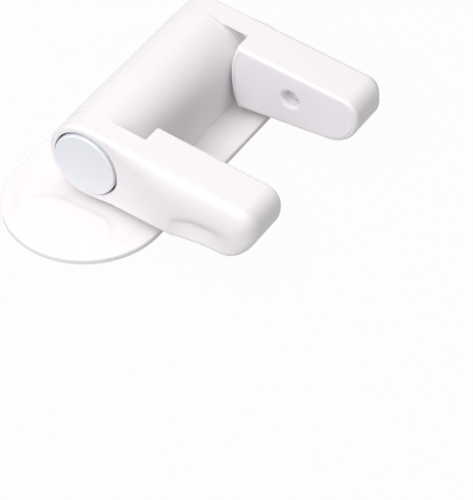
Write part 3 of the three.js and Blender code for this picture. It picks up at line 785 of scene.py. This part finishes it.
def armPieces(side):
    mirror = side == "near"
    pieces = [
        ("arm_moulding", armShell(), whiteAbs, "hook", "body", "arm_shell"),
        ("arm_lid", makeArmCover(), coverAbs, "hook", "cover", "arm_cover"),
        ("lid_screw", makeCoverScrew(), screwLacquer, "hook", "lacquer", "cover_screw"),
        ("push_button", makeButton(), buttonAbs, side + "_button", "button", "button"),
        ("button_coil", makeSpring(), springSteel, "hook", "spring", "button_spring"),
    ]
    made = {}
    for name, bm, material, body, slot, node in pieces:
        bmesh.ops.translate(bm, vec=(0, 0, pivotHeight), verts=bm.verts)
        nodes = [node + "_" + side]
        made[name] = finishPiece(name + "_" + side, bm, material, body, nodes, mirror=mirror)
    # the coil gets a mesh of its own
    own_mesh(made["button_coil"])
    print(side, "arm made")


for side in ("far", "near"):
    armPieces(side)

# The pieces inside stay as they are, in plated steel
insidePieces = ["pivot_axle", "axle_washer_near", "axle_washer_far", "axle_screw_near", "axle_screw_far"]
insidePieces += ["housing_screw_%d" % i for i in (1, 2, 3, 4)]
for node in insidePieces:
    materials = frame["nodes"][node].data.materials
    materials.clear()
    materials.append(zincSteel)
print("inside pieces:", len(insidePieces))


# Studio: a white floor that keeps a faint shadow, two broad lamps above and a smaller one low on the right
studio = {
    "floorSize": 6, "floorWhite": 0.97, "skyWhite": 1.0, "skyLight": 0.37, "white": "#ffffff",
    "paper": "#aaaaaa",
}
lamps = [
    {"name": "overhead", "place": (-0.2, 0.08, 0.92), "size": 1.0, "watts": 3.7},
    {"name": "front", "place": (-0.2, -0.7, 0.85), "size": 0.9, "watts": 5.8},
    {"name": "right", "place": (0.55, -1.0, 0.2), "size": 0.7, "watts": 2.9},
]


def seenRay(tree):  # 1 for what the camera, a reflection or glass sees, and 0 for light on the object
    path = addNode(tree, "ShaderNodeLightPath")
    seen = path.outputs["Is Camera Ray"]
    for ray in ("Is Glossy Ray", "Is Transmission Ray"):
        either = addNode(tree, "ShaderNodeMath", {"operation": "MAXIMUM"}, {0: seen, 1: path.outputs[ray]})
        seen = either.outputs["Value"]
    return seen


def makeStudio():
    scene = bpy.context.scene
    scene.view_settings.view_transform = "Standard"
    world = bpy.data.worlds.new("studio")
    world.use_nodes = True
    scene.world = world
    tree = world.node_tree
    strength = addNode(tree, "ShaderNodeMapRange",
                       {"To Min": studio["skyLight"], "To Max": studio["skyWhite"]}, {"Value": seenRay(tree)})
    sky = tree.nodes["Background"]
    sky.inputs["Color"].default_value = linear(studio["white"])
    tree.links.new(strength.outputs["Result"], sky.inputs["Strength"])

    bm = bmesh.new()
    bmesh.ops.create_grid(bm, x_segments=1, y_segments=1, size=studio["floorSize"] / 2)
    mesh = bpy.data.meshes.new("studio_floor")
    bm.to_mesh(mesh)
    bm.free()
    floor = bpy.data.objects.new("studio_floor", mesh)
    scene.collection.objects.link(floor)
    paper = bpy.data.materials.new("white_paper")
    paper.use_nodes = True
    tree = paper.node_tree
    matt = tree.nodes["Principled BSDF"]
    matt.inputs["Base Color"].default_value = linear(studio["paper"])
    matt.inputs["Roughness"].default_value = 1
    matt.inputs["Specular IOR Level"].default_value = 0
    glow = addNode(tree, "ShaderNodeEmission", {"Color": linear(studio["white"])})
    dimmed = {"operation": "MULTIPLY", 1: studio["floorWhite"]}
    share = addNode(tree, "ShaderNodeMath", dimmed, {0: seenRay(tree)})
    blend = {0: share.outputs["Value"], 1: matt.outputs["BSDF"], 2: glow.outputs["Emission"]}
    both = addNode(tree, "ShaderNodeMixShader", links=blend)
    tree.links.new(both.outputs["Shader"], tree.nodes["Material Output"].inputs["Surface"])
    mesh.materials.append(paper)

    for lamp in lamps:
        data = bpy.data.lights.new(lamp["name"], "AREA")
        data.shape = "DISK"
        data.size = lamp["size"]
        data.energy = lamp["watts"]
        light = bpy.data.objects.new(lamp["name"], data)
        light.location = lamp["place"]
        light.rotation_euler = (-Vector(lamp["place"])).to_track_quat("-Z", "Y").to_euler()
        scene.collection.objects.link(light)


makeStudio()
print("studio lit by", len(lamps), "lamps")

# Camera: a long lens from above the near right corner
camera = {
    "lensMm": 204.2, "sensorMm": 36, "place": (361.2, -515.6, 576.2), "aim": (34.6, -8.2, -22.4),
    "nearest": 0.05, "farthest": 20,
}
lens = bpy.data.cameras.new("camera")
lens.lens = camera["lensMm"]
lens.sensor_width = camera["sensorMm"]
lens.clip_start = camera["nearest"]
lens.clip_end = camera["farthest"]
eye = bpy.data.objects.new("camera", lens)
eye.location = Vector(camera["place"]) * mm
look = Vector(camera["aim"]) - Vector(camera["place"])
eye.rotation_euler = look.to_track_quat("-Z", "Y").to_euler()
bpy.context.scene.collection.objects.link(eye)
bpy.context.scene.camera = eye
